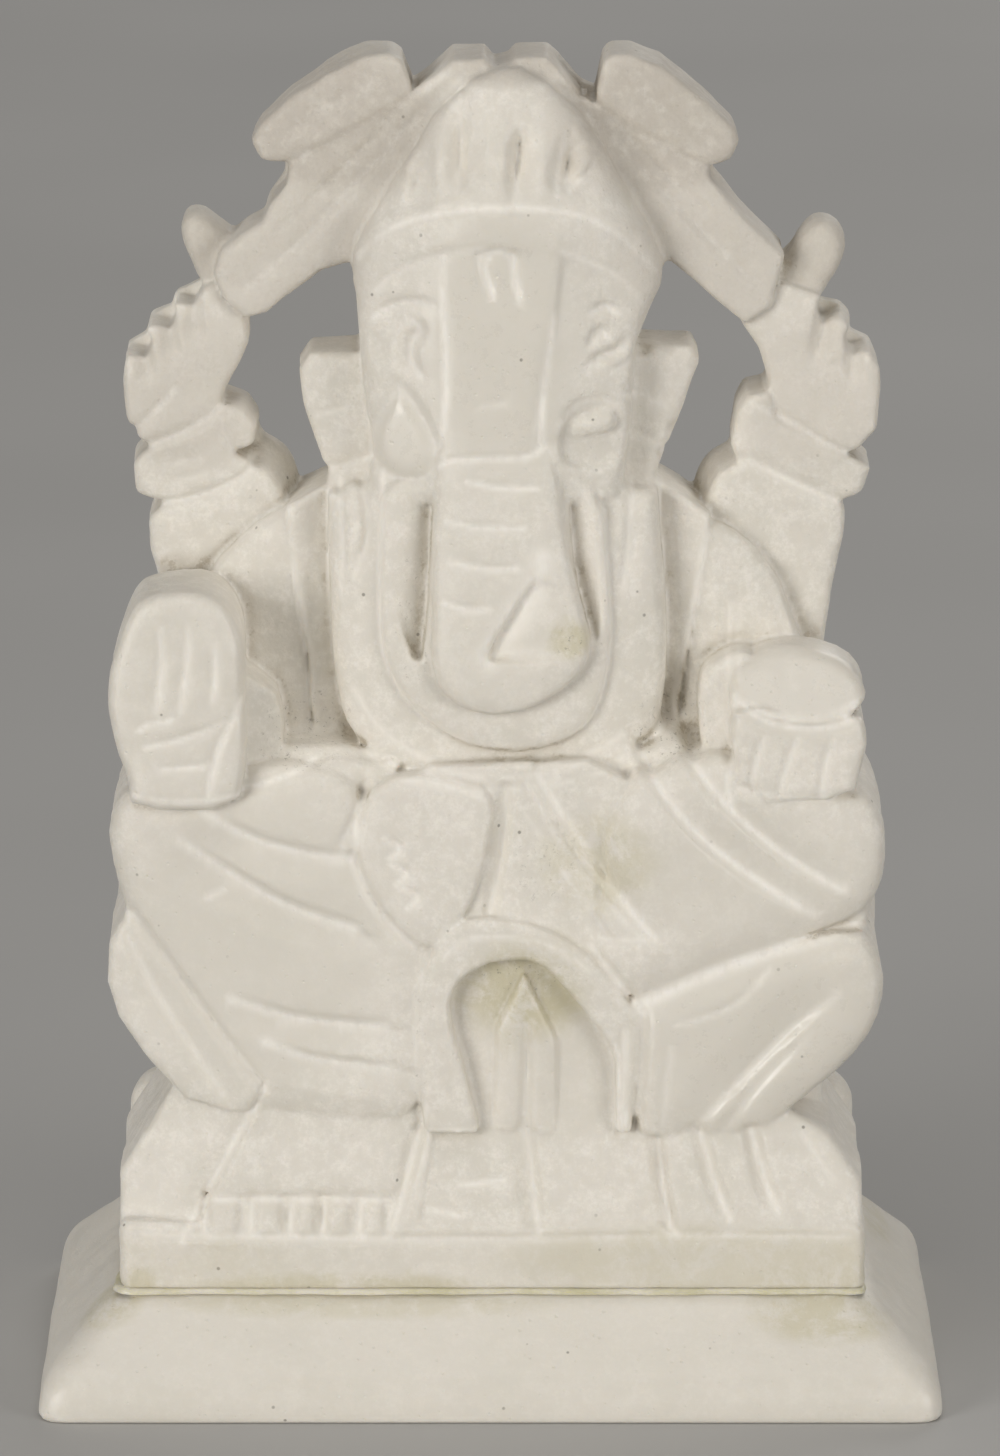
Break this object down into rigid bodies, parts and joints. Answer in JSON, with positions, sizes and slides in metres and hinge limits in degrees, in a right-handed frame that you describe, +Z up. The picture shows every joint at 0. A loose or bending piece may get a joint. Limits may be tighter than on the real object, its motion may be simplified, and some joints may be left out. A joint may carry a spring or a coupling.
{
  "type": "ganesha idol",
  "caption": "Carved white stone seated Ganesha with raised rear arms, trunk curled over the belly and a pointed crown, glued on a bevelled plinth.",
  "frame": {"origin": "centre of the plinth's flat underside", "axes": "+Z up through the idol, the idol faces -Y, +X to the viewer's right"},
  "size_m": [0.083, 0.05, 0.1234],
  "materials": {
    "plinth_stone": "sawn and lightly polished white stone with rubbed edges",
    "resin": "yellowed clear adhesive",
    "figure_stone": "hand carved white stone, part polished and part left chalky by the tools"
  },
  "bodies": {
    "root": {"base_plinth": "plinth_stone", "adhesive_bed": "resin", "carved_figure": "figure_stone"}
  },
  "joints": []
}
